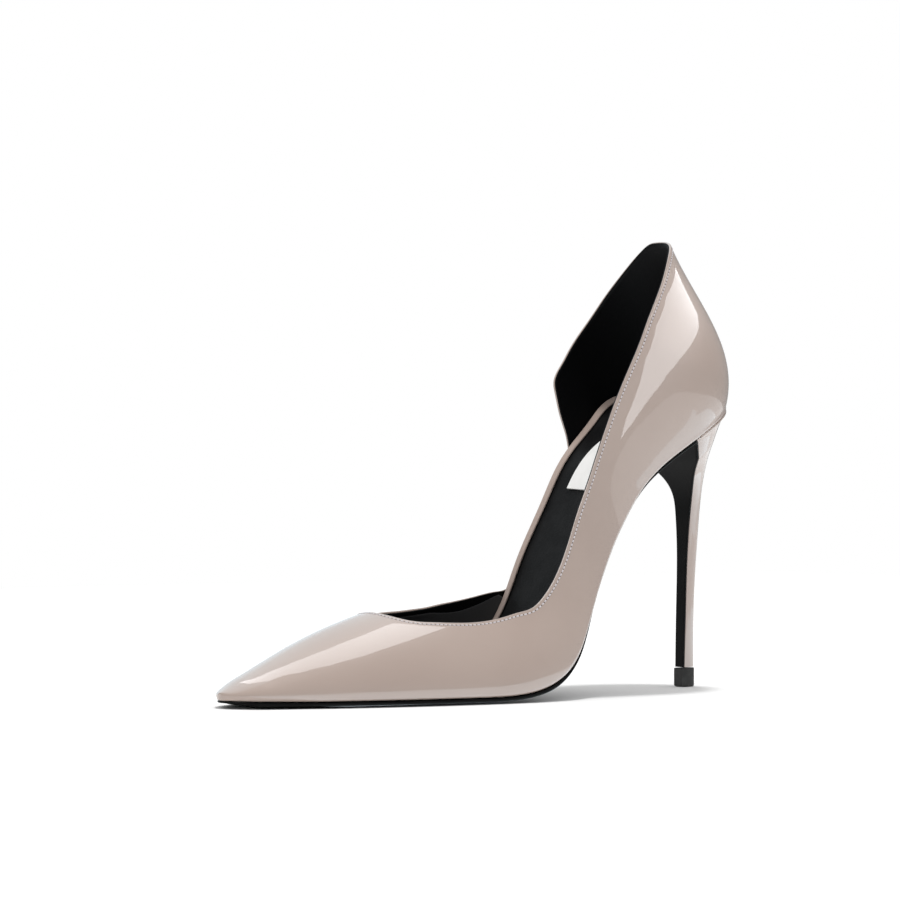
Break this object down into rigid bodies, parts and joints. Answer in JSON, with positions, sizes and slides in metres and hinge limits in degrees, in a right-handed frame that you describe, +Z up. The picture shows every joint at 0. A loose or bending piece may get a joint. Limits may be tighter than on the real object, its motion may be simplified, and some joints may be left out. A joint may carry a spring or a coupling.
{
  "type": "high heel",
  "caption": "Left half d'Orsay pump: pointed closed toe, open inner arch, hollow patent leather upper on a bent insole, thin leather sole and slim high heel.",
  "frame": {"origin": "on the floor, under the middle of the shoe's plan extent", "axes": "+X from toe to heel, +Y to the inner side of the foot, +Z up"},
  "size_m": [0.212, 0.0732, 0.1637],
  "materials": {
    "patent_leather": "nude patent leather, high gloss",
    "sole_leather": "black dyed sole leather, satin",
    "sock_leather": "black lining leather, fine grain, satin",
    "pad_leather": "white pad leather, smooth, unprinted",
    "tip_rubber": "dark grey moulded rubber, matt"
  },
  "bodies": {
    "root": {"upper": "patent_leather", "outsole": "sole_leather", "insole": "sock_leather", "arch_binding": "patent_leather", "heel_pad": "pad_leather", "heel": "patent_leather", "top_piece": "tip_rubber"}
  },
  "joints": []
}
